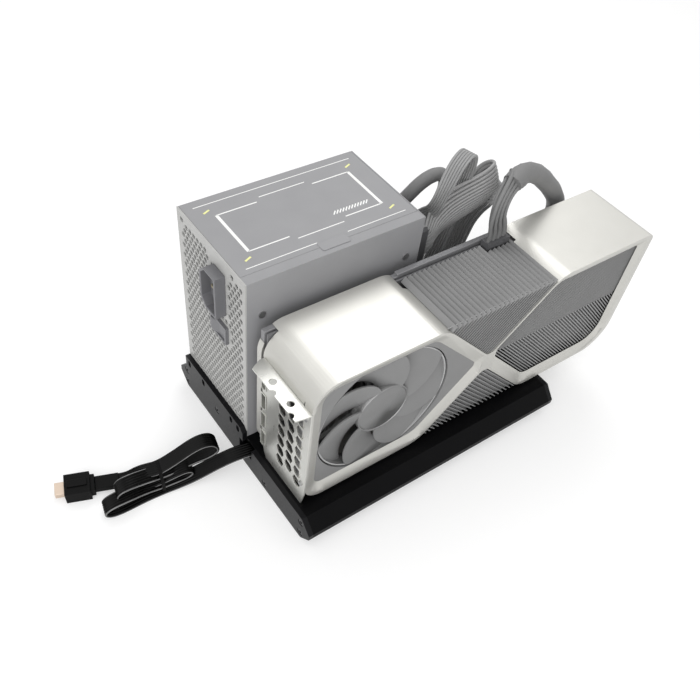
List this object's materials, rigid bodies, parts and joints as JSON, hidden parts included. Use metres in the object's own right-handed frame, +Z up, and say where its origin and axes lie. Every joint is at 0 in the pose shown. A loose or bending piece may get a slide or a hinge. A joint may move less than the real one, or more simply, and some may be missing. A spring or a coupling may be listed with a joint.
{
  "type": "external graphics card dock",
  "caption": "Open external graphics dock: a flat metal base carries a desktop power supply and a large fan-cooled graphics card side by side, with power leads and a tied flat uplink cable.",
  "frame": {"origin": "on the surface that the feet stand on, under the middle of the dock's footprint without its cables", "axes": "+X along the dock and the card, away from the mains inlet and the card's ports; +Y from the card towards the power supply; +Z up"},
  "size_m": [0.4489, 0.188, 0.2343],
  "materials": {
    "black_anodised": "satin",
    "black_steel": "satin",
    "rubber": "matte",
    "circuit_board": "satin",
    "connector_plastic": "matte",
    "grey_painted_steel": "satin",
    "zinc_screw": "satin",
    "grille_wire": "polished",
    "fan_plastic": "satin",
    "inlet_plastic": "satin",
    "contact_brass": "satin",
    "transformer_core": "matte",
    "capacitor_sleeve": "gloss",
    "cooling_aluminium": "satin",
    "silver_aluminium": "satin",
    "back_plate_metal": "satin",
    "stainless_steel": "satin",
    "chip_package": "satin",
    "copper": "satin",
    "lead_jacket": "satin",
    "cable_jacket": "gloss",
    "plug_plastic": "matte",
    "plug_metal": "satin"
  },
  "bodies": {
    "dock": {"base_extrusion": "black_anodised", "end_plate_left": "black_anodised", "end_plate_right": "black_anodised", "plate_screws": "black_steel", "rubber_feet": "rubber", "dock_board": "circuit_board", "psu_board": "circuit_board", "card_board": "circuit_board", "card_slot": "connector_plastic", "main_socket": "connector_plastic", "aux_socket": "connector_plastic", "uplink_header": "connector_plastic", "lead_sockets": "connector_plastic", "psu_lead_plugs": "connector_plastic", "power_socket": "connector_plastic", "card_lead_plug": "connector_plastic", "main_plug": "connector_plastic", "aux_plug": "connector_plastic", "psu_tray": "grey_painted_steel", "psu_inlet_panel": "grey_painted_steel", "psu_lead_panel": "grey_painted_steel", "psu_cover": "grey_painted_steel", "psu_side_screws": "zinc_screw", "bracket_screws": "zinc_screw", "psu_fan_grille": "grille_wire", "psu_fan_frame": "fan_plastic", "front_fan_frame": "fan_plastic", "rear_fan_frame": "fan_plastic", "ac_inlet": "inlet_plastic", "switch_frame": "inlet_plastic", "inlet_blades": "contact_brass", "psu_transformer": "transformer_core", "psu_capacitors": "capacitor_sleeve", "psu_heat_sinks": "cooling_aluminium", "inner_fins": "cooling_aluminium", "upper_fins": "cooling_aluminium", "lower_fins": "cooling_aluminium", "right_fins": "cooling_aluminium", "card_frame": "silver_aluminium", "back_plate": "back_plate_metal", "slot_bracket": "stainless_steel", "ports": "stainless_steel", "graphics_chip": "chip_package", "cold_plate": "copper", "wide_lead": "lead_jacket", "six_wire_lead": "lead_jacket", "sleeved_lead": "lead_jacket", "card_lead": "lead_jacket", "uplink_run": "cable_jacket", "uplink_hank": "cable_jacket", "uplink_tail": "cable_jacket", "uplink_tie": "cable_jacket", "uplink_neck": "plug_plastic", "plug_housing": "plug_plastic", "plug_latch": "plug_plastic", "plug_nose": "plug_metal"},
    "front_rotor": {"front_fan_rotor": "fan_plastic"},
    "rear_rotor": {"rear_fan_rotor": "fan_plastic"},
    "supply_rotor": {"psu_fan_rotor": "fan_plastic"},
    "power_rocker": {"switch_rocker": "inlet_plastic"}
  },
  "joints": [
    {"name": "front_fan_spin", "type": "hinge", "parent": "dock", "child": "front_rotor", "pos_m": [-0.08485, -0.0625, 0.0895], "axis": [0, -1, 0], "continuous": true},
    {"name": "rear_fan_spin", "type": "hinge", "parent": "dock", "child": "rear_rotor", "pos_m": [0.09865, -0.0245, 0.0895], "axis": [0, 1, 0], "continuous": true},
    {"name": "supply_fan_spin", "type": "hinge", "parent": "dock", "child": "supply_rotor", "pos_m": [-0.08235, 0.0625, 0.1015], "axis": [0, 1, 0], "continuous": true},
    {"name": "power_switch", "type": "hinge", "parent": "dock", "child": "power_rocker", "pos_m": [-0.14935, 0.03, 0.114], "axis": [0, 0, 1], "range_deg": [-16, 0]}
  ]
}
